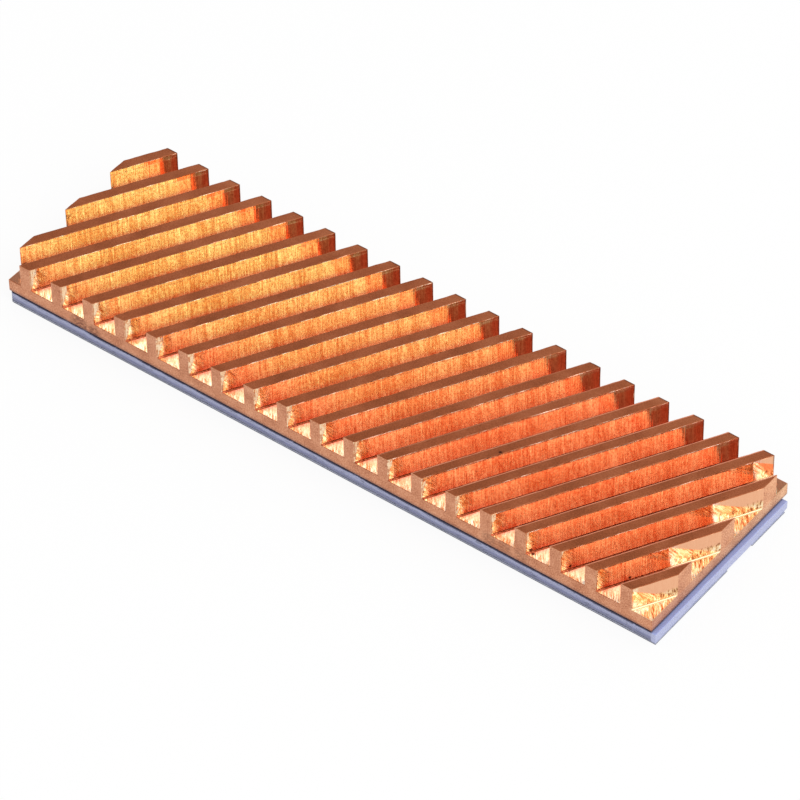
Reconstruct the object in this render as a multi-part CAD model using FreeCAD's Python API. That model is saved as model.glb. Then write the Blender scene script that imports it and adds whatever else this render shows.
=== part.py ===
import FreeCAD, Part
import math
import os

# Copper heat sink for a stick-shaped solid state drive, in millimetres. A plate is milled through from edge to edge
# by parallel diagonal slots, and what stays between them are the fins. A soft thermal pad is stuck under the plate,
# and a thin release liner still covers the pad. X runs along the plate, Y across it and Z up. The origin is under the
# plate's centre, on the underside of the liner, where the part rests.

# Copper plate
plate_length = 70.0
plate_width = 20.0
base_thickness = 1.5
bottom_edge_radius = 0.3

# Fins and the slots between them, measured square to the fins
fin_height = 2.5
fin_thickness = 1.0
fin_pitch = 3.14
fin_angle = 60.0
slot_root_radius = 0.15

# Thermal pad, flush with the plate's front edge and left end, standing out at the right end and short at the back
pad_thickness = 1.0
pad_overhang = 0.4
pad_back_inset = 0.5
pad_corner_radius = 0.4

# Release liner, a little short of the pad's back edge, with a shallow nick in its right end
liner_thickness = 0.1
liner_back_inset = 0.9
nick_length = 3.7
nick_depth = 0.25
nick_offset = 0.5

# Levels from the rest face up
pad_bottom = liner_thickness
plate_bottom = pad_bottom + pad_thickness
slot_floor = plate_bottom + base_thickness
fin_top = slot_floor + fin_height


def vector(x, y, z=0.0):
    return FreeCAD.Vector(x, y, z)


def slab(length, width, thickness, corner):
    """A flat rectangular sheet, from its front left lower corner."""
    return Part.makeBox(length, width, thickness, corner)


def plate_blank():
    """The plate before milling, with the edges of its underside rounded."""
    corner = vector(-plate_length / 2, -plate_width / 2, plate_bottom)
    blank = slab(plate_length, plate_width, base_thickness + fin_height, corner)
    lower_edges = []
    for edge in blank.Edges:
        if all(abs(vertex.Z - plate_bottom) < 1e-6 for vertex in edge.Vertexes):
            lower_edges.append(edge)
    return blank.makeFillet(min(bottom_edge_radius, 0.9 * base_thickness), lower_edges)


def slot_section():
    """The milled slot's section in the XZ plane: open at the top, with rounded roots."""
    half = (fin_pitch - fin_thickness) / 2
    root = min(slot_root_radius, 0.45 * (fin_pitch - fin_thickness), 0.9 * fin_height)
    over = fin_top + fin_height
    bend = root * (1 - math.sqrt(0.5))
    left_wall = vector(-half, 0, slot_floor + root)
    left_bend = vector(-half + bend, 0, slot_floor + bend)
    left_floor = vector(-half + root, 0, slot_floor)
    right_floor = vector(half - root, 0, slot_floor)
    right_bend = vector(half - bend, 0, slot_floor + bend)
    right_wall = vector(half, 0, slot_floor + root)
    left_top = vector(-half, 0, over)
    right_top = vector(half, 0, over)
    outline = [
        Part.LineSegment(left_top, left_wall),
        Part.Arc(left_wall, left_bend, left_floor),
        Part.LineSegment(left_floor, right_floor),
        Part.Arc(right_floor, right_bend, right_wall),
        Part.LineSegment(right_wall, right_top),
        Part.LineSegment(right_top, left_top),
    ]
    return Part.Face(Part.Wire([curve.toShape() for curve in outline]))


def slot_cutters():
    """One cutter for each slot: a row about the plate's centre, as far as the corners reach."""
    turn = math.radians(fin_angle)
    reach = (plate_length * math.sin(turn) + plate_width * abs(math.cos(turn))) / 2
    stroke = math.hypot(plate_length, plate_width)
    section = slot_section()
    section.translate(vector(0, -stroke / 2))
    slot = section.extrude(vector(0, stroke))
    half_slot = (fin_pitch - fin_thickness) / 2
    slots_each_way = math.ceil((reach + half_slot) / fin_pitch) - 1
    cutters = []
    for index in range(-slots_each_way, slots_each_way + 1):
        cutter = slot.copy()
        cutter.translate(vector(index * fin_pitch, 0))
        cutter.rotate(vector(0, 0), vector(0, 0, 1), fin_angle - 90)
        cutters.append(cutter)
    return cutters


def heat_sink_body():
    """The copper plate with its diagonal slots milled out."""
    return plate_blank().cut(slot_cutters())


def soft_sheet(width, thickness, bottom):
    """A sheet with the pad's length, from the plate's front edge backwards, with round corners at its left end."""
    left = -plate_length / 2
    block = slab(plate_length + pad_overhang, width, thickness, vector(left, -plate_width / 2, bottom))
    left_corners = []
    for edge in block.Edges:
        low, high = edge.BoundBox.ZMin, edge.BoundBox.ZMax
        if high - low > 0.5 * thickness and edge.BoundBox.XMax < 0:
            left_corners.append(edge)
    return block.makeFillet(pad_corner_radius, left_corners)


def thermal_pad():
    """The soft pad between the plate and the liner."""
    return soft_sheet(plate_width - pad_back_inset, pad_thickness, pad_bottom)


def release_liner():
    """The film under the pad, with its nick."""
    film = soft_sheet(plate_width - liner_back_inset, liner_thickness, 0)
    nick_corner = vector(plate_length / 2 + pad_overhang - nick_depth, nick_offset, 0)
    return film.cut(slab(2 * nick_depth, nick_length, liner_thickness, nick_corner))


pieces = {
    "heat_sink_body": heat_sink_body(),
    "thermal_pad": thermal_pad(),
    "release_liner": release_liner(),
}

os.makedirs("parts", exist_ok=True)
for name, shape in pieces.items():
    solid = shape.removeSplitter()
    solid.exportStep(os.path.join("parts", name + ".step"))
    print(name, "solids", len(solid.Solids), "valid", solid.isValid(), "volume", round(solid.Volume, 3))
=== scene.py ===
import bmesh
import bpy
import math
from mathutils import Matrix, Vector, noise


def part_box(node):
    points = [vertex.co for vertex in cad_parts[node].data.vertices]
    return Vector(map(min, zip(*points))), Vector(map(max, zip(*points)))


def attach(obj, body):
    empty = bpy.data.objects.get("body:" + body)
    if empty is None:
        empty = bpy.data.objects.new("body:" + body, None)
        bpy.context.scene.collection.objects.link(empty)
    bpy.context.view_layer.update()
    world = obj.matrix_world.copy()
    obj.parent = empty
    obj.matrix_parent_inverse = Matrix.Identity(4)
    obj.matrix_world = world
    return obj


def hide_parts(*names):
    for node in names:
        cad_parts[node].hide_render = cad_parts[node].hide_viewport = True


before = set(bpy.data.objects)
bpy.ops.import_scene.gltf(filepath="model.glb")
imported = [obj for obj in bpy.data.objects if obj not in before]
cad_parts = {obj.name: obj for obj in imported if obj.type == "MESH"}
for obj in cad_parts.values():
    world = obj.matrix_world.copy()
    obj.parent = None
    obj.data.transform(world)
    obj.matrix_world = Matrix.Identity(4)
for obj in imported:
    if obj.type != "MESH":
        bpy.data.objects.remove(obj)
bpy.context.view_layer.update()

# Sizes in metres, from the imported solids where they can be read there
MM = 0.001
PLATE_LOW, PLATE_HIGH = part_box("heat_sink_body")
PAD_LOW, PAD_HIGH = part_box("thermal_pad")
LINER_LOW, LINER_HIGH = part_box("release_liner")
RIGHT, BACK, UP = Matrix.Identity(3)
TINY = 0.01 * MM
CUT_MERGE = 0.0001 * MM

# Fins and the slots between them
FIN_HEIGHT = 2.5 * MM
FIN_THICKNESS = 1.0 * MM
FIN_PITCH = 3.14 * MM
FIN_COUNT = 22
FIN_TURN = math.radians(60)
ALONG_FIN = Vector((math.cos(FIN_TURN), math.sin(FIN_TURN), 0))
ACROSS_FIN = Vector((math.sin(FIN_TURN), -math.cos(FIN_TURN), 0))
LEFT_SIDE, RIGHT_SIDE = -1, 1
SLOT_FLOOR = PLATE_HIGH.z - FIN_HEIGHT

# Rounded edges: under the plate, at the feet of the walls that face right and left, and along the fins' rims
LOW_EDGE_RADIUS = 0.3 * MM
ROOT_RADIUS = 0.15 * MM
FAR_ROOT_RADIUS = 0.02 * MM
EDGE_RADIUS = 0.05 * MM
SHARP_BEND = math.radians(50)

# How far the rims stray sideways and dip, and how many waves of that go to a millimetre
RIM_WANDER = 0.05 * MM
RIM_WAVES = (1.3, 4.0)
RIM_DIP = 0.03 * MM
RIM_DIP_WAVES = 1.7

# Where the plate's faces are divided: strips along its edges, steps along the fins, and rows up the walls
TORN_STRIP = 0.5 * MM
FIN_STEP = 0.5 * MM
WALL_ROWS = [height * MM for height in (0.6, 1.2, 1.8, 2.43)]

# How much of a face's normal has to lie in a direction for each of these words to hold
SLOPING = 0.1
LEANING = 0.55
NEARLY = 0.9
LEVEL = 0.98
SQUARE_ON = 0.99

# Finishes of the plate, in the order of its materials
ROLLED, WALL, GROOVE, SAWN, FAR_WALL, ROOT = range(6)

# Pad: its edges, its divisions, and how far its cut sides stray and are drawn in above the liner
PAD_CORNER_RADIUS = 0.4 * MM
PAD_EDGE_RADIUS = 0.07 * MM
PAD_STEP = 0.7 * MM
PAD_ROWS = [height * MM for height in (0.2, 0.5, 0.8)]
PAD_WANDER = 0.06 * MM
PAD_WAVES = 0.6
UNDERCUT = 0.22 * MM
UNDERCUT_WAVES = 0.12
UNDERCUT_SWING, UNDERCUT_USUAL, UNDERCUT_LEAST = 1.5, 0.35, 0.1

# Nick in the liner's right end
NICK_FRONT, NICK_BACK, NICK_DEPTH = 0.5 * MM, 4.2 * MM, 0.25 * MM

# Slot bottoms: how they fall from a wall, more so to the right, how they level out, and how the strokes run
FLOOR_LEAN = 0.167
FLOOR_LEAN_RISE = 0.0007
FLOOR_HOLLOW = 0.037
STROKE_TURN = math.radians(52)

# Walls: their polish, and how red they are painted, as a painted reflection, at each share of the way along the
# reddening span
WALL_ROUGHNESS = 0.07
REFLECTED_REDNESS_BY_FIN = [(0.0, 0.08), (0.25, 0.37), (0.5, 0.40), (1.0, 1.0)]

# Burr along the far rims of the right-hand fins, bright with a painted highlight: its width and its crest in
# millimetres, and its slope
BURR_WIDTH = 0.14
BURR_CREST = 0.12
BURR_SLOPE = 0.26

# The pairs below say where a finish starts and where it is full, in millimetres
# By the row of fins, to the right of its middle
REFLECTION_REDDENING = (-14.0, 11.0)
HIGHLIGHTED_BURR_FINS = (5.0, 14.0)
DULL_LEFT_RIMS = (-10.0, -14.0)
DULL_RIGHT_RIMS = (16.0, 20.0)

# Inside the plate's right or left end, and along the fins from the plate's centre to its corners
ROOT_END_HIGHLIGHT = (2.7, 2.2)
FLOOR_END_HIGHLIGHT = (2.4, 2.2)
FREE_END = (2.3, 2.0)
TORN_END = (1.5, 1.0)
END_FACE = (0.2, 0.05)
LIT_PAD_END = (0.15, 0.0)
SHADED_PAD_END = (0.3, 0.05)
DIM_CORNER_REFLECTION = (24.8, 25.1)

# Inside its back edge
BACK_REFLECTION = (1.58, 1.46)
DEEP_BACK_REFLECTION = (0.7, 1.3)
BACK_SHADE = (1.15, 0.8)
BACK_RIM = (0.2, 0.08)
BACK_WALL_EDGE = (0.16, 0.06)

# Inside its front edge
END_LIGHT = (1.0, 18.0)
RED_FRONT = (5.2, 1.2)
RED_FRONT_FOOT = (3.5, 1.0)
TORN_FLOOR = (1.1, 0.4)
TORN_WALL_REFLECTION = (0.56, 0.48)
FRONT_RIM = (0.14, 0.1)

# Over the slot bottoms, over the pad, and below the tops of the fins, the pad and the liner
FIN_END_FOOT = (-0.1, 0.0)
WALL_FOOT = (0.95, 0.35)
GILT_FOOT_REFLECTION = (1.6, 1.3)
UNDER_RIM = (2.1, 1.95)
CREASE_SHADE = (0.6, 0.0)
TOP_RIM = (0.06, 0.05)
PAD_TOP = (0.04, 0.02)
LINER_EDGE_SHADE = (0.01, 0.02)

# Camera, as fitted to the photograph
VIEW_AZIMUTH = math.radians(38.12)
VIEW_ELEVATION = math.radians(44.30)
VIEW_ROLL = math.radians(-1.18)
VIEW_DISTANCE = 431.8 * MM
VIEW_AIM_RIGHT = 0.93 * MM
VIEW_AIM_UP = -1.83 * MM
VIEW_LENS = 223.46
VIEW_SENSOR = 36.0
VIEW_NEAREST = 10 * MM

# Studio floor: its reach, its distance under the liner, its grey, and how far it is lifted to white
FLOOR_REACH = 4.0
FLOOR_GAP = 0.02 * MM
FLOOR_GREY = 0.93
FLOOR_LIFT = 0.88

# Surroundings: how bright at the horizon, half way up, overhead and as soft light, and where that changes
SKY_HORIZON = 1.0
SKY_HALF_WAY = 0.5
SKY_OVERHEAD = 1.0
SKY_SOFT = 0.9
SKY_DIMS = (0.0, 0.5)
SKY_BRIGHTENS = (0.8, 1.0)

# Key light: a softbox to the right, which the walls of the slots mirror
KEY_TOWARDS = Vector((0.712, -0.100, 0.695))
KEY_DISTANCE = 0.60
KEY_WIDTH = 0.28
KEY_LENGTH = 0.53
KEY_RADIANCE = 2.1

# Sockets of a Mix node that carry colours
MIX_FIRST, MIX_SECOND, MIX_RESULT = 6, 7, 2


def fin_offset(index):
    """How far a fin's middle lies from the plate's centre, square to the fins."""
    return (index - (FIN_COUNT - 1) / 2) * FIN_PITCH


def on_fin(number, along, across, over_floor):
    """A place by a fin's number from the left, in millimetres along it, off its middle and over the slots.

    Along counts from the point of the fin that lies nearest to the plate's centre.
    """
    square = fin_offset(number - 1) + across * MM
    return ALONG_FIN * along * MM + ACROSS_FIN * square + UP * (SLOT_FLOOR + over_floor * MM)


def on_front(east, over_floor):
    """A place on the plate's front edge, in millimetres from its middle and over the slot bottoms."""
    return Vector((east * MM, PLATE_LOW.y, SLOT_FLOOR + over_floor * MM))


# Single marks, each with its place and its radius in millimetres
TOP_SPECK = (on_fin(16, 4.25, 0.3, FIN_HEIGHT / MM), 0.2)
WALL_CRUMBS = [(on_fin(20, 5.05, 0.5, 0.4), 0.17), (on_fin(21, 9.1, 0.5, 0.35), 0.2)]
FLOOR_PIT = (on_fin(19, 2.93, 0.75, 0.0), 0.2)
CRUMB_COLOUR = (0.06, 0.015, 0.008)

# A scuff with its tail and a row of tool chatter on the front edge, each with place, radius and strength
SCUFFS = [(on_front(-26.8, -0.85), 1.3, 1.0), (on_front(-25.2, -1.0), 1.0, 1.0)]
SCUFFS += [(on_front(east, -0.5), 1.0, 0.6) for east in (18.2, 19.9, 21.6)]


class Field:
    """A value or colour that changes over a surface. Arithmetic on values adds Math nodes."""

    def __init__(self, finish, socket):
        self.finish = finish
        self.socket = socket

    def math(self, operation, first, second):
        return self.finish.node("ShaderNodeMath", {"operation": operation}, {0: first, 1: second})

    def __add__(self, other):
        return self.math("ADD", self, other)

    __radd__ = __add__

    def __sub__(self, other):
        return self.math("SUBTRACT", self, other)

    def __rsub__(self, other):
        return self.math("SUBTRACT", other, self)

    def __mul__(self, other):
        return self.math("MULTIPLY", self, other)

    __rmul__ = __mul__


def set_stops(ramp, stops):
    """Fills a colour ramp from (place, colour) pairs."""
    while len(ramp.elements) < len(stops):
        ramp.elements.new(1.0)
    for element, (place, colour) in zip(ramp.elements, stops):
        element.position = place
        element.color = (*colour, 1.0)


class Finish:
    """A node material, or the world, under construction."""

    def __init__(self, owner):
        owner.use_nodes = True
        self.owner = owner
        self.tree = owner.node_tree
        self.tree.nodes.clear()

    def node(self, kind, settings=None, inputs=None, output=0):
        """Any node: its settings first, then the values or links of its sockets."""
        made = self.tree.nodes.new(kind)
        for name, value in (settings or {}).items():
            if name == "stops":
                set_stops(made.color_ramp, value)
            else:
                setattr(made, name, value)
        for name, value in (inputs or {}).items():
            if isinstance(value, Field):
                self.tree.links.new(value.socket, made.inputs[name])
            else:
                made.inputs[name].default_value = value
        return Field(self, made.outputs[output]) if made.outputs else None

    def millimetres(self, turn=0.0, stretch=(1, 1, 1)):
        """Object coordinates in millimetres, turned about Z and stretched."""
        place = self.node("ShaderNodeTexCoord", output="Object")
        turned = self.node("ShaderNodeMapping", {}, {"Vector": place, "Rotation": (0, 0, turn)})
        scale = tuple(share / MM for share in stretch)
        return self.node("ShaderNodeMapping", {}, {"Vector": turned, "Scale": scale})

    def parts(self, vector):
        """The X, Y and Z of a vector."""
        return [self.node("ShaderNodeSeparateXYZ", {}, {"Vector": vector}, axis) for axis in "XYZ"]

    def noise(self, waves, detail=2.0, roughness=0.5, turn=0.0):
        """Soft noise, with so many waves to a millimetre along each axis."""
        place = self.millimetres(turn, waves)
        inputs = {"Vector": place, "Scale": 1.0, "Detail": detail, "Roughness": roughness}
        return self.node("ShaderNodeTexNoise", {}, inputs)

    def ramp(self, value, stops):
        return self.node("ShaderNodeValToRGB", {"stops": stops}, {"Fac": value})

    def between(self, value, low, high, to_low=0.0, to_high=1.0):
        """The value taken from one range to another, and held at its ends."""
        inputs = {"Value": value, "From Min": low, "From Max": high, "To Min": to_low, "To Max": to_high}
        return self.node("ShaderNodeMapRange", {"clamp": True}, inputs)

    def mix(self, share, first, second, how="MIX"):
        """Two colours mixed by a share. A plain colour is opaque."""
        first, second = (c if isinstance(c, Field) else (*c, 1.0) for c in (first, second))
        settings = {"data_type": "RGBA", "blend_type": how}
        inputs = {"Factor": share, MIX_FIRST: first, MIX_SECOND: second}
        return self.node("ShaderNodeMix", settings, inputs, MIX_RESULT)

    def larger(self, first, second):
        return self.node("ShaderNodeMath", {"operation": "MAXIMUM"}, {0: first, 1: second})

    def spot(self, centre, radius):
        """One inside a round spot, and zero from its rim on. The centre is a place on the part."""
        inputs = {0: self.millimetres(), 1: centre / MM}
        gap = self.node("ShaderNodeVectorMath", {"operation": "DISTANCE"}, inputs, "Value")
        return self.between(gap, radius / 2, radius, 1.0, 0.0)

    def bump(self, height):
        """The normal that a height in millimetres gives."""
        return self.node("ShaderNodeBump", {}, {"Height": height, "Distance": MM, "Strength": 1.0})

    def surface(self, colour, roughness, metallic, normal=None):
        """The finished material."""
        inputs = {"Base Color": colour, "Roughness": roughness, "Metallic": metallic}
        if normal:
            inputs["Normal"] = normal
        shader = self.node("ShaderNodeBsdfPrincipled", {}, inputs)
        self.node("ShaderNodeOutputMaterial", {}, {"Surface": shader})
        return self.owner


class Places:
    """Where a point lies, in millimetres: inside the plate's edges, over its slot bottoms and by its fins."""

    def __init__(self, finish):
        self.finish = finish
        self.east, self.north, self.height = finish.parts(finish.millimetres())
        self.from_left = self.east - PLATE_LOW.x / MM
        self.from_right = PLATE_HIGH.x / MM - self.east
        self.from_front = self.north - PLATE_LOW.y / MM
        self.from_back = PLATE_HIGH.y / MM - self.north
        self.over_floor = self.height - SLOT_FLOOR / MM
        self.below_top = PLATE_HIGH.z / MM - self.height
        self.along, leftwards = finish.parts(finish.millimetres(-FIN_TURN))[:2]
        self.across = 0.0 - leftwards

    def past_fin(self, side):
        """How far a point lies past the last fin's left or right side, going right."""
        first = (fin_offset(0) + side * FIN_THICKNESS / 2) / MM
        wrap = {0: self.across - first, 1: FIN_PITCH / MM}
        return self.finish.node("ShaderNodeMath", {"operation": "FLOORED_MODULO"}, wrap)


def new_finish(name):
    """A new material to fill, and the places on the part that it reads."""
    finish = Finish(bpy.data.materials.new(name))
    return finish, Places(finish)


def rolled_copper():
    """The plate's own skin, on the fin tops: dull brown, darkened further as a painted reflection of dim
    surroundings, with a burr on the right-hand far rims that carries a painted highlight.
    """
    finish, at = new_finish("rolled_copper")
    cloud = finish.noise((0.35, 0.35, 0.35), 3.0)
    grain = finish.noise((9.0, 9.0, 9.0), 3.0, 0.7)
    tone = finish.between(cloud * 0.4 + grain * 0.6 + at.north * 0.004, 0.34, 0.66)
    # Painted reflection: the skin's brown is darkened further, for the dim surroundings that the tops mirror
    skin = [(0.0, (0.36, 0.10, 0.037)), (0.5, (0.53, 0.15, 0.060)), (1.0, (0.67, 0.225, 0.102))]
    colour = finish.mix(finish.spot(*TOP_SPECK), finish.ramp(tone, skin), (0.12, 0.03, 0.015))
    back_edge = finish.between(at.from_back, *BACK_RIM, 0.0, 0.6)
    colour = finish.mix(back_edge, colour, (0.10, 0.04, 0.025))
    from_rim = at.past_fin(LEFT_SIDE)
    # Painted highlight: a bright line along the burr of the right-hand far rims
    burr = finish.between(from_rim, BURR_WIDTH, BURR_CREST) * finish.between(at.across, *HIGHLIGHTED_BURR_FINS)
    colour = finish.mix(burr, colour, (1.0, 0.36, 0.20))
    rough = finish.between(grain, 0.3, 0.7, 0.36, 0.46) * (1.0 - burr * 0.65)
    normal = finish.bump(grain * 0.006 - burr * (BURR_WIDTH - from_rim) * BURR_SLOPE)
    return finish.surface(colour, rough, 1.0, normal)


def scuffed(finish):
    """How scuffed the plate's front edge is: torn patches about each scuff."""
    share = 0.0
    for place, radius, strength in SCUFFS:
        share = finish.larger(share, finish.spot(place, radius) * strength)
    patches = finish.noise((2.5, 2.5, 9.0), 3.0, 0.7)
    return share * finish.between(patches, 0.42, 0.54)


def painted_end_light(finish, at):
    """How much painted light brightens the plate's right end: on the fins and below them, and more towards the
    back.
    """
    backwards = finish.between(at.from_front, *END_LIGHT)
    fin_end = finish.mix(backwards, (1.18, 1.22, 1.16), (1.28, 1.40, 1.32))
    base_end = finish.mix(backwards, (1.0, 1.02, 1.10), (1.25, 1.55, 1.58))
    return finish.mix(finish.between(at.over_floor, *FIN_END_FOOT), base_end, fin_end)


def sawn_copper():
    """The sawn edges of the plate and ends of the fins: pale salmon, speckled, with painted shade next to the
    pad.
    """
    finish, at = new_finish("sawn_copper")
    grain = finish.noise((8.0, 8.0, 6.0), 2.0, 0.8)
    cloud = finish.noise((0.6, 0.6, 0.6))
    tone = finish.between(cloud * 0.3 + grain * 0.7, 0.38, 0.62)
    sawn = [(0.0, (0.42, 0.15, 0.072)), (0.5, (0.64, 0.272, 0.146)), (1.0, (0.80, 0.41, 0.24))]
    colour = finish.mix(scuffed(finish), finish.ramp(tone, sawn), (0.24, 0.09, 0.05))
    # Painted light: the right end is lighter, facing the key light
    right_end = finish.between(at.from_right, *END_FACE)
    colour = finish.mix(right_end, colour, painted_end_light(finish, at), "MULTIPLY")
    # Painted shade: dark where the plate meets the pad
    over_pad = at.height - PLATE_LOW.z / MM + (grain - 0.5) * 0.2
    crease_shade = finish.between(over_pad, *CREASE_SHADE, 0.0, 0.85)
    colour = finish.mix(crease_shade, colour, (0.07, 0.035, 0.055))
    return finish.surface(colour, 0.42, 1.0, finish.bump(grain * 0.014))


def root_copper():
    """The rounded feet of the walls that face right: dark red as painted shade, with a pale painted highlight
    near the right end.
    """
    finish, at = new_finish("root_copper")
    grain = finish.noise((5.0, 5.0, 5.0))
    # Painted shade: the rounded feet are dark red
    colour = finish.mix(finish.between(grain, 0.35, 0.65), (0.30, 0.06, 0.025), (0.75, 0.20, 0.09))
    # Painted highlight: pale near the right end
    colour = finish.mix(finish.between(at.from_right, *ROOT_END_HIGHLIGHT), colour, (0.97, 0.70, 0.42))
    return finish.surface(colour, 0.35, 1.0)


def cutter_marks(finish, at, lines, free_end):
    """How light the cutter's upright marks are, in columns that all fins share, and fainter at free ends."""
    grain = finish.noise((7.0, 0.7, 4.0), 2.0, 0.8, -FIN_TURN)
    in_a_row = {"voronoi_dimensions": "1D"}
    cells = {"W": at.north, "Scale": 1.0, "Randomness": 0.8}
    column = finish.parts(finish.node("ShaderNodeTexVoronoi", in_a_row, cells, "Color"))[0]
    border = finish.node("ShaderNodeTexVoronoi", {**in_a_row, "feature": "DISTANCE_TO_EDGE"}, cells)
    seam = finish.between(border, 0.0, 0.05, 0.4, 1.0)
    marks = finish.between(lines * 0.38 + grain * 0.57 + column * 0.05, 0.43, 0.57) * seam
    return (marks - 0.5) * finish.between(free_end, 0.0, 1.0, 1.0, 0.2) + 0.5


def painted_reflection_redness(finish, at):
    """How red a wall is painted, as a painted reflection: fins turn from gold to red towards the right, and all
    are redder near the front.
    """
    stops = [(place, (level, level, level)) for place, level in REFLECTED_REDNESS_BY_FIN]
    reflected_redness = finish.ramp(finish.between(at.across, *REFLECTION_REDDENING), stops)
    near_front = finish.between(at.from_front, *RED_FRONT)
    return reflected_redness + near_front * (reflected_redness * 0.9 + 0.42)


def shaded_red_foot(finish, at, colour, reflected_redness):
    """Darkens and reddens the foot of a wall as painted shade, most of all near the front."""
    foot = finish.between(at.over_floor, *WALL_FOOT)
    tint = finish.mix(reflected_redness, (0.74, 0.43, 0.71), (0.87, 0.87, 0.91))
    tint = finish.mix(finish.between(at.from_front, *RED_FRONT_FOOT), tint, (0.80, 0.50, 0.55))
    return finish.mix(foot, colour, tint, "MULTIPLY")


def painted_back_reflection(finish, at, colour, tone, free_end):
    """Paints a red reflection on the back end of a wall, mostly below its rim, with a dark brown line along its
    back edge. Free ends are left without it.
    """
    # Painted reflection: dark red where the wall's back end mirrors the dim surroundings behind the plate
    back_reflection = finish.mix(tone, (0.74, 0.29, 0.16), (1.0, 0.50, 0.32))
    inner = finish.between(at.from_back, *DEEP_BACK_REFLECTION)
    back_reflection = finish.mix(inner, back_reflection, (1.0, 0.66, 0.62), "MULTIPLY")
    below_rim = finish.between(at.over_floor, *UNDER_RIM, 0.4, 1.0)
    back_end = finish.between(at.from_back, *BACK_REFLECTION)
    colour = finish.mix(back_end * below_rim * (1.0 - free_end), colour, back_reflection)
    edge = finish.between(at.from_back, *BACK_WALL_EDGE, 0.0, 0.7)
    return finish.mix(edge, colour, (0.10, 0.04, 0.02))


def gilt_foot_reflection(finish, at, colour, free_end):
    """Paints golden speckles on the foot of a free end, a painted reflection of the torn slot bottom beside it.
    Gives the colour and the roughness.
    """
    speckle = finish.noise((4.5, 1.0, 1.6), 3.0, 0.8, -FIN_TURN)
    torn = free_end * finish.between(at.over_floor + speckle, *GILT_FOOT_REFLECTION)
    gilt = [(0.0, (0.34, 0.12, 0.05)), (0.3, (0.88, 0.50, 0.22)),
            (0.7, (1.0, 0.80, 0.50)), (1.0, (1.0, 0.95, 0.75))]
    colour = finish.mix(torn, colour, finish.ramp(finish.between(speckle, 0.40, 0.67), gilt))
    return colour, finish.between(torn, 0.0, 1.0, WALL_ROUGHNESS, 0.3)


def torn_front_reflection(finish, at, colour):
    """Tears the front end of a wall into speckles, painted pale as a reflection of the bright surroundings
    beyond the front, with a ragged border.
    """
    ragged = finish.noise((4.0, 1.0, 3.0), 2.0, 0.7, -FIN_TURN)
    torn = finish.between(at.from_front + (ragged - 0.5) * 0.8, *TORN_WALL_REFLECTION)
    speckles = [(0.0, (0.82, 0.43, 0.23)), (0.25, (0.90, 0.54, 0.30)), (1.0, (0.97, 0.74, 0.49))]
    return finish.mix(torn, colour, finish.ramp(finish.between(ragged, 0.36, 0.58), speckles))


def chipped_rims(finish, at, colour):
    """Dulls the rims of a wall: all along the fins near both ends, and in patches on those between."""
    front_rim = finish.between(at.from_front, *FRONT_RIM, 0.0, 0.7)
    rim = finish.larger(finish.between(at.below_top, *TOP_RIM), front_rim)
    patches = finish.between(finish.noise((1.4, 1.4, 1.4), 2.0, 0.7), 0.48, 0.54)
    patches = finish.larger(patches, finish.between(at.across, *DULL_LEFT_RIMS, 0.0, 0.85))
    patches = finish.larger(patches, finish.between(at.across, *DULL_RIGHT_RIMS))
    return finish.mix(rim * patches, colour, (0.5, 0.15, 0.06))


def milled_copper(name, faces_left):
    """The fresh metal of the slot walls: bright, with a painted reflection that is golden towards the left end
    and red towards the right.
    """
    finish, at = new_finish(name)
    free_end = finish.between(at.from_left if faces_left else at.from_right, *FREE_END)
    lines = finish.noise((10.0, 0.7, 0.3), 1.0, 0.6, -FIN_TURN)
    tone = cutter_marks(finish, at, lines, free_end)
    reflected_redness = painted_reflection_redness(finish, at)
    red = finish.mix(tone, (0.71, 0.35, 0.225), (0.885, 0.708, 0.58))
    # Painted reflection: the plain peach copper that free ends take, where no fin faces them
    plain = finish.mix(tone, (0.79, 0.37, 0.20), (0.93, 0.52, 0.31))
    if faces_left:
        gold = finish.mix(tone, (0.71, 0.41, 0.25), (0.93, 0.81, 0.615))
        colour = finish.mix(free_end, finish.mix(reflected_redness, gold, red), plain)
        shade = finish.between(at.from_back, *BACK_SHADE, 0.0, 0.9)
        colour = finish.mix(shade, colour, (0.87, 0.38, 0.255))
        rough = WALL_ROUGHNESS
    else:
        gold = finish.mix(tone, (0.69, 0.49, 0.27), (0.86, 0.99, 0.755))
        colour = shaded_red_foot(finish, at, finish.mix(reflected_redness, gold, red), reflected_redness)
        colour = finish.mix(free_end, colour, plain)
        colour = painted_back_reflection(finish, at, colour, tone, free_end)
        colour, rough = gilt_foot_reflection(finish, at, colour, free_end)
    colour = torn_front_reflection(finish, at, colour)
    colour = chipped_rims(finish, at, colour)
    for crumb in WALL_CRUMBS:
        colour = finish.mix(finish.spot(*crumb), colour, CRUMB_COLOUR)
    return finish.surface(colour, rough, 1.0, finish.bump(lines * 0.004))


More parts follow.
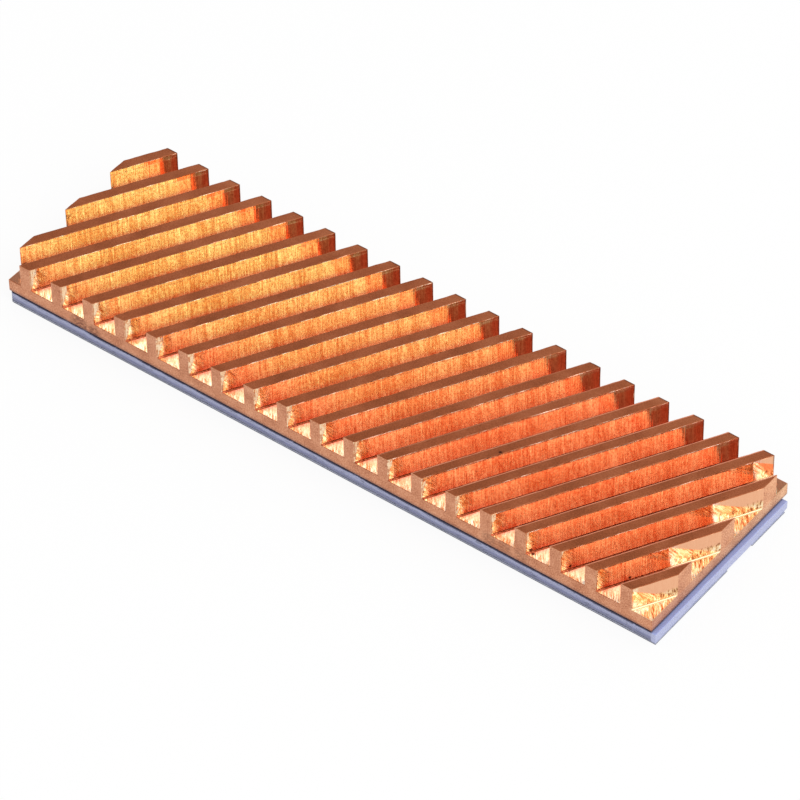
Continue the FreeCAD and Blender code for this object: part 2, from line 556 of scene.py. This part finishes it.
def slot_bottom():
    """The bottoms of the slots: hollowed, with torn strokes near the plate's front and right edges, painted
    pale as highlights.
    """
    finish, at = new_finish("slot_bottom")
    from_wall = at.past_fin(RIGHT_SIDE)
    hollow = from_wall * (from_wall * FLOOR_HOLLOW - (at.east * FLOOR_LEAN_RISE + FLOOR_LEAN))
    # Painted reflection: darker and redder next to the wall that faces right, which the slot bottom mirrors
    # there
    colour = finish.mix(finish.between(from_wall, 0.0, 2.0), (0.71, 0.415, 0.305), (0.94, 0.73, 0.52))
    colour = finish.mix(finish.between(at.from_back, *BACK_SHADE), colour, (0.87, 0.42, 0.295))
    scores = finish.noise((7.0, 0.5, 1.0), 2.0, 0.7, -FIN_TURN)
    colour = finish.mix(finish.between(scores, 0.5, 0.62, 0.0, 0.4), colour, (0.74, 0.42, 0.29))
    strokes = finish.between(finish.noise((0.9, 6.0, 1.0), 2.0, 0.7, STROKE_TURN), 0.38, 0.62)
    front = finish.between(at.from_front, *TORN_FLOOR)
    cuts = strokes * finish.between(from_wall, 0.1, 0.9, 0.3, 1.0)
    # Painted highlight: the torn strokes by the front edge run pale to near white
    pale_tears = [(0.0, (0.70, 0.30, 0.12)), (0.35, (0.92, 0.64, 0.42)), (1.0, (1.0, 0.95, 0.82))]
    colour = finish.mix(front, colour, finish.ramp(cuts, pale_tears))
    # Painted highlight: near white on the slot bottoms by the right end, with a slanted border
    end_highlight = finish.between(at.from_right + from_wall, *FLOOR_END_HIGHLIGHT)
    colour = finish.mix(end_highlight, colour, (1.0, 0.96, 0.88))
    right_end = finish.between(at.from_right, *TORN_END)
    # Painted highlight: the palest of the torn strokes by the right end are near white
    deep_tears = [(0.0, (0.50, 0.14, 0.05)), (0.25, (0.88, 0.48, 0.22)),
                  (0.6, (0.97, 0.70, 0.42)), (1.0, (1.0, 0.95, 0.82))]
    colour = finish.mix(right_end, colour, finish.ramp(strokes, deep_tears))
    # Painted reflection: the slot bottoms at the plate's corners are darker, for the dim surroundings they
    # mirror
    from_middle = finish.node("ShaderNodeMath", {"operation": "ABSOLUTE"}, {0: at.along})
    colour = finish.mix(finish.between(from_middle, *DIM_CORNER_REFLECTION), colour, (0.60, 0.25, 0.14))
    colour = finish.mix(finish.spot(*FLOOR_PIT), colour, CRUMB_COLOUR)
    torn = finish.larger(front, right_end)
    rough = finish.between(torn * (1.2 - strokes), 0.0, 1.0, 0.08, 0.3)
    return finish.surface(colour, rough, 1.0, finish.bump(hollow + torn * strokes * 0.01))


def silicone():
    """The thermal pad: soft lavender silicone, banded by height and smeared on its cut sides, with painted
    shade under the copper and at its left end, and painted light at its right end.
    """
    finish, at = new_finish("lavender_silicone")
    grain = finish.noise((6.0, 6.0, 6.0), 4.0, 0.6)
    streaks = finish.noise((0.25, 0.25, 3.0), 3.0, 0.6)
    # Colour up the cut sides by height, darker low down, with painted shade in the top stop just under the
    # copper
    height_bands = [(0.0, (0.13, 0.14, 0.20)), (0.25, (0.21, 0.22, 0.33)), (0.45, (0.19, 0.20, 0.36)),
              (0.62, (0.33, 0.35, 0.51)), (0.92, (0.36, 0.38, 0.56)), (0.97, (0.08, 0.08, 0.14))]
    level = finish.between(at.height, PAD_LOW.z / MM, PAD_HIGH.z / MM)
    colour = finish.ramp(level + (streaks - 0.5) * 0.3 + (grain - 0.5) * 0.15, height_bands)
    smears = finish.between(finish.noise((0.9, 0.9, 5.0), 3.0, 0.7), 0.54, 0.66, 0.0, 0.7)
    colour = finish.mix(smears, colour, (0.07, 0.075, 0.12))
    # Painted light: the pad's right end, facing the key light, is paler, with a bluer top
    pale = finish.mix(finish.between(grain, 0.3, 0.7), (0.40, 0.425, 0.63), (0.475, 0.51, 0.72))
    top = finish.between(PAD_HIGH.z / MM - at.height, *PAD_TOP)
    pale = finish.mix(top, pale, (0.37, 0.43, 0.76))
    colour = finish.mix(finish.between(at.from_right, *LIT_PAD_END), colour, pale)
    # Painted shade: the pad's left end, turned away from the light, is darker
    left_end_shade = finish.between(at.from_left, *SHADED_PAD_END, 0.0, 0.5)
    colour = finish.mix(left_end_shade, colour, (0.09, 0.10, 0.14))
    return finish.surface(colour, 0.5, 0.0, finish.bump(grain * 0.015 + streaks * 0.03))


def liner_film():
    """The release liner: thin film, pale on its face and dark along its cut edge, partly as painted shade for
    the contact shadow under it.
    """
    finish, at = new_finish("liner_film")
    cloud = finish.noise((0.8, 0.8, 0.8))
    face = finish.mix(finish.between(cloud, 0.3, 0.7), (0.46, 0.48, 0.60), (0.60, 0.62, 0.74))
    # Partly painted shade: the cut edge is dark, standing in for the contact shadow beneath it
    edge = finish.between(LINER_HIGH.z / MM - at.height, *LINER_EDGE_SHADE)
    return finish.surface(finish.mix(edge, face, (0.05, 0.05, 0.08)), 0.3, 0.0)


def piece(name, bm, materials):
    """A finished piece from a bmesh, riding on the part."""
    mesh = bpy.data.meshes.new(name)
    bm.to_mesh(mesh)
    bm.free()
    for material in materials:
        mesh.materials.append(material)
    made = bpy.data.objects.new(name, mesh)
    bpy.context.scene.collection.objects.link(made)
    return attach(made, "root")


def box_bmesh(low, high):
    """A block between two corners."""
    bm = bmesh.new()
    place = Matrix.Translation((low + high) / 2) @ Matrix.Diagonal((*(high - low), 1))
    bmesh.ops.create_cube(bm, size=1.0, matrix=place)
    return bm


def cut_rows(bm, axis, places):
    """Cuts a mesh square to an axis at each place, and keeps both sides."""
    for place in places:
        everything = bm.verts[:] + bm.edges[:] + bm.faces[:]
        bmesh.ops.bisect_plane(bm, geom=everything, dist=CUT_MERGE, plane_co=axis * place, plane_no=axis)


def bevel(bm, edges, offset, segments):
    bmesh.ops.bevel(bm, geom=edges, offset=offset, affect="EDGES", segments=segments,
                    profile=0.5, material=-1)


def vertical(edge):
    return abs(edge.verts[0].co.z - edge.verts[1].co.z) > TINY


def sharp(edge):
    return len(edge.link_faces) == 2 and edge.calc_face_angle(0) > SHARP_BEND


def at_foot(edge):
    return sharp(edge) and not edge.is_convex


def highest(edge):
    return max(vert.co.z for vert in edge.verts)


def below_wall(edge):
    """Whether an edge lies under a wall that faces right."""
    return any(face.normal.dot(ACROSS_FIN) > NEARLY for face in edge.link_faces)


def in_a_fin(point):
    across = point.dot(ACROSS_FIN)
    return any(abs(across - fin_offset(index)) < FIN_THICKNESS / 2 for index in range(FIN_COUNT))


def finned_plate():
    """The copper body: a base plate with its fins drawn up out of it."""
    bm = box_bmesh(PLATE_LOW, Vector((PLATE_HIGH.x, PLATE_HIGH.y, SLOT_FLOOR)))
    bevel(bm, [e for e in bm.edges if highest(e) < PLATE_LOW.z + TINY], LOW_EDGE_RADIUS, segments=4)
    for index in range(FIN_COUNT):
        sides = [fin_offset(index) + side * FIN_THICKNESS / 2 for side in (LEFT_SIDE, RIGHT_SIDE)]
        cut_rows(bm, ACROSS_FIN, sides)
    crests = [f for f in bm.faces if f.normal.z > NEARLY and in_a_fin(f.calc_center_median())]
    drawn = bmesh.ops.extrude_face_region(bm, geom=crests)["geom"]
    bmesh.ops.delete(bm, geom=crests, context="FACES")
    raised = [v for v in drawn if isinstance(v, bmesh.types.BMVert)]
    bmesh.ops.translate(bm, verts=raised, vec=UP * FIN_HEIGHT)
    bmesh.ops.recalc_face_normals(bm, faces=bm.faces)
    bevel(bm, [e for e in bm.edges if at_foot(e) and below_wall(e)], ROOT_RADIUS, segments=3)
    bevel(bm, [e for e in bm.edges if at_foot(e)], FAR_ROOT_RADIUS, segments=2)
    bevel(bm, [e for e in bm.edges if sharp(e) and highest(e) > SLOT_FLOOR - TINY], EDGE_RADIUS, segments=2)
    divide_plate(bm)
    for face in bm.faces:
        face.material_index = plate_finish(face)
    for vert in bm.verts:
        wander(vert)
    return bm


def divide_plate(bm):
    """Cuts the plate's faces where its finishes change and its rims bend."""
    cut_rows(bm, UP, [SLOT_FLOOR + row for row in WALL_ROWS])
    for axis, reach in ((RIGHT, PLATE_HIGH.x), (BACK, PLATE_HIGH.y)):
        cut_rows(bm, axis, [TORN_STRIP - reach, reach - TORN_STRIP])
    reach = PLATE_HIGH.x * ALONG_FIN.x + PLATE_HIGH.y * ALONG_FIN.y
    steps = int(reach / FIN_STEP)
    cut_rows(bm, ALONG_FIN, [step * FIN_STEP for step in range(-steps, steps + 1)])


def plate_finish(face):
    """Which finish a face of the plate has: skin on top, milled in the slots, sawn round the outside."""
    over_floor = face.calc_center_median().z - SLOT_FLOOR
    on_top = over_floor > FIN_HEIGHT / 2
    sideways = face.normal.dot(ACROSS_FIN)
    if face.normal.z > (NEARLY if on_top else LEVEL):
        return ROLLED if on_top else GROOVE
    if max(abs(face.normal.x), abs(face.normal.y)) > SQUARE_ON or over_floor < -TINY:
        return SAWN
    if over_floor < ROOT_RADIUS and face.normal.z > SLOPING:
        return ROOT if sideways > 0 else FAR_WALL
    if abs(sideways) > LEANING:
        return WALL if sideways > 0 else FAR_WALL
    return SAWN


def wander(vert):
    """Roughens the rims of the fins, as a cutter leaves them, inside the plate's box. The walls stay flat."""
    if vert.co.z < SLOT_FLOOR + ROOT_RADIUS:
        return
    at_top = vert.co.z > SLOT_FLOOR + WALL_ROWS[-1] + TINY
    at_end = min(PLATE_HIGH.x - abs(vert.co.x), PLATE_HIGH.y - abs(vert.co.y)) < 2 * EDGE_RADIUS
    place = vert.co / MM
    if at_top or at_end:
        across = sum(noise.noise(place * waves) for waves in RIM_WAVES) / len(RIM_WAVES)
        vert.co += ACROSS_FIN * across * RIM_WANDER
    if at_top:
        vert.co.z -= abs(noise.noise(place * RIM_DIP_WAVES)) * RIM_DIP
    vert.co = [min(max(c, low), high) for c, low, high in zip(vert.co, PLATE_LOW, PLATE_HIGH)]


def round_left_corners(bm):
    left_corners = [e for e in bm.edges if vertical(e) and e.verts[0].co.x < 0]
    bevel(bm, left_corners, PAD_CORNER_RADIUS, segments=5)


def soft_pad():
    """The thermal pad: a soft slab with round corners at its flush end, drawn in a little above the liner."""
    bm = box_bmesh(PAD_LOW, PAD_HIGH)
    round_left_corners(bm)
    bevel(bm, [e for e in bm.edges if sharp(e) and not vertical(e)], PAD_EDGE_RADIUS, segments=2)
    cut_rows(bm, UP, [PAD_LOW.z + row for row in PAD_ROWS])
    for axis, low, high in ((RIGHT, PAD_LOW.x, PAD_HIGH.x), (BACK, PAD_LOW.y, PAD_HIGH.y)):
        steps = int((high - low) / PAD_STEP)
        cut_rows(bm, axis, [low + step * PAD_STEP for step in range(1, steps)])
    for vert in bm.verts:
        draw_in(vert)
    return bm


def draw_in(vert):
    """Moves a point on the pad's cut sides inwards by a little, and further next to the liner."""
    place = vert.co / MM
    drawn = abs(noise.noise(place * PAD_WAVES)) * PAD_WANDER
    if vert.co.z < PAD_LOW.z + PAD_ROWS[0] - TINY:
        undercut = noise.noise(place * UNDERCUT_WAVES) * UNDERCUT_SWING + UNDERCUT_USUAL
        drawn += min(max(undercut, UNDERCUT_LEAST), 1.0) * UNDERCUT
    for axis in (0, 1):
        if vert.co[axis] < PAD_LOW[axis] + PAD_EDGE_RADIUS + TINY:
            vert.co[axis] += drawn
        if vert.co[axis] > PAD_HIGH[axis] - PAD_EDGE_RADIUS - TINY:
            vert.co[axis] -= drawn


def film():
    """The liner under the pad, with a nick in its right end."""
    bm = box_bmesh(LINER_LOW, LINER_HIGH)
    round_left_corners(bm)
    cut_rows(bm, BACK, [NICK_FRONT, NICK_FRONT + TINY, NICK_BACK - TINY, NICK_BACK])
    for vert in bm.verts:
        if vert.co.x > LINER_HIGH.x - TINY and NICK_FRONT + TINY / 2 < vert.co.y < NICK_BACK - TINY / 2:
            vert.co.x -= NICK_DEPTH
    return bm


def camera_axes():
    """Right, up and back of the camera."""
    flat = math.cos(VIEW_ELEVATION)
    back = Vector((math.sin(VIEW_AZIMUTH) * flat, -math.cos(VIEW_AZIMUTH) * flat, math.sin(VIEW_ELEVATION)))
    right = Vector((math.cos(VIEW_AZIMUTH), math.sin(VIEW_AZIMUTH), 0))
    roll = Matrix.Rotation(VIEW_ROLL, 3, back)
    return roll @ right, roll @ back.cross(right), back


def add_camera():
    right, up, back = camera_axes()
    aim = Vector((0, 0, SLOT_FLOOR)) + right * VIEW_AIM_RIGHT + up * VIEW_AIM_UP
    data = bpy.data.cameras.new("camera")
    data.lens = VIEW_LENS
    data.sensor_width = VIEW_SENSOR
    data.clip_start = VIEW_NEAREST
    camera = bpy.data.objects.new("camera", data)
    turn = Matrix((right, up, back)).transposed().to_4x4()
    camera.matrix_world = Matrix.Translation(aim + back * VIEW_DISTANCE) @ turn
    bpy.context.scene.collection.objects.link(camera)
    bpy.context.scene.camera = camera


def add_key_light():
    """A soft area lamp that faces the part."""
    data = bpy.data.lights.new("key", "AREA")
    data.shape = "RECTANGLE"
    data.size = KEY_WIDTH
    data.size_y = KEY_LENGTH
    data.energy = KEY_RADIANCE * math.pi * KEY_WIDTH * KEY_LENGTH
    lamp = bpy.data.objects.new("key", data)
    direction = KEY_TOWARDS.normalized()
    lamp.location = direction * KEY_DISTANCE
    lamp.rotation_mode = "QUATERNION"
    lamp.rotation_quaternion = direction.to_track_quat("Z", "Y")
    bpy.context.scene.collection.objects.link(lamp)


def seen_plainly(finish):
    """One for rays straight from the camera, off metal or through glass, and zero for soft light."""
    kinds = ("Is Camera Ray", "Is Glossy Ray", "Is Transmission Ray")
    camera, glossy, through = (finish.node("ShaderNodeLightPath", output=kind) for kind in kinds)
    return finish.between(camera + glossy + through, 0.0, 1.0)


def add_floor():
    """A white floor under the part, which keeps a faint shadow."""
    bm = bmesh.new()
    bmesh.ops.create_grid(bm, x_segments=1, y_segments=1, size=FLOOR_REACH)
    bmesh.ops.translate(bm, verts=bm.verts[:], vec=UP * (LINER_LOW.z - FLOOR_GAP))
    mesh = bpy.data.meshes.new("floor")
    bm.to_mesh(mesh)
    bm.free()
    finish = Finish(bpy.data.materials.new("white_floor"))
    grey = (FLOOR_GREY, FLOOR_GREY, FLOOR_GREY, 1)
    matte = finish.node("ShaderNodeBsdfDiffuse", {}, {"Color": grey})
    lit = finish.node("ShaderNodeEmission", {}, {"Color": (1, 1, 1, 1), "Strength": 1.0})
    share = seen_plainly(finish) * FLOOR_LIFT
    both = finish.node("ShaderNodeMixShader", {}, {0: share, 1: matte, 2: lit})
    finish.node("ShaderNodeOutputMaterial", {}, {"Surface": both})
    mesh.materials.append(finish.owner)
    floor = bpy.data.objects.new("floor", mesh)
    bpy.context.scene.collection.objects.link(floor)


def add_world():
    """Soft studio surroundings: white at the horizon and overhead, dimmer half way up."""
    world = bpy.data.worlds.new("studio")
    bpy.context.scene.world = world
    finish = Finish(world)
    height = finish.parts(finish.node("ShaderNodeTexCoord", output="Generated"))[2]
    seen = finish.between(height, *SKY_DIMS, SKY_HORIZON, SKY_HALF_WAY)
    seen = seen + finish.between(height, *SKY_BRIGHTENS, 0.0, SKY_OVERHEAD - SKY_HALF_WAY)
    plain = seen_plainly(finish)
    level = seen * plain + (1.0 - plain) * SKY_SOFT
    glow = finish.node("ShaderNodeBackground", {}, {"Color": (1, 1, 1, 1), "Strength": level})
    finish.node("ShaderNodeOutputWorld", {}, {"Surface": glow})


def dress():
    """Puts a finished piece in the place of each solid."""
    finishes = [rolled_copper(), milled_copper("milled_copper", False), slot_bottom(), sawn_copper(),
                milled_copper("milled_copper_left", True), root_copper()]
    copper = piece("copper_body", finned_plate(), finishes)
    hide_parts("heat_sink_body")
    pad = piece("silicone_pad", soft_pad(), [silicone()])
    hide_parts("thermal_pad")
    liner = piece("liner_sheet", film(), [liner_film()])
    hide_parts("release_liner")


dress()
add_floor()
add_world()
add_key_light()
add_camera()
bpy.context.scene.view_settings.view_transform = "Standard"
